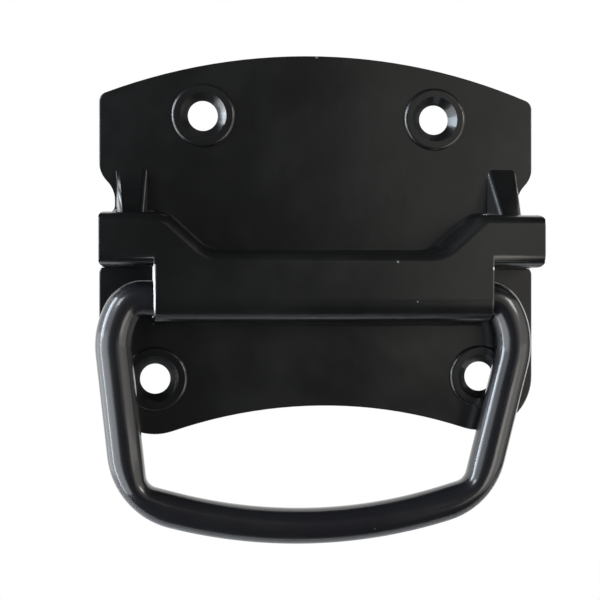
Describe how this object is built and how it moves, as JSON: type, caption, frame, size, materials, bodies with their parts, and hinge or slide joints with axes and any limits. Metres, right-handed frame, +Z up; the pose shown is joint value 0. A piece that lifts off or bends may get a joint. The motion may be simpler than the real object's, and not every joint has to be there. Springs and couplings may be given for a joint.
{
  "type": "box handle",
  "caption": "Pressed steel chest handle: a flat plate with a raised hood that holds the bent round bail, painted gloss black.",
  "frame": {"origin": "middle of the four screw holes, on the back face of the plate", "axes": "+X to the right seen from the front, +Z up, -Y out of the front; the back face lies in the plane y = 0"},
  "size_m": [0.1008, 0.0118, 0.1104],
  "materials": {
    "black_paint": "gloss black paint, chipped bright at a few edges",
    "black_paint_bail": "gloss black paint"
  },
  "bodies": {
    "plate": {"back_plate": "black_paint"},
    "bail": {"bail": "black_paint_bail"}
  },
  "joints": [
    {"name": "bail_hinge", "type": "hinge", "parent": "plate", "child": "bail", "pos_m": [0, -0.0063, -0.0116], "axis": [-1, 0, 0], "range_deg": [0, 120]}
  ]
}
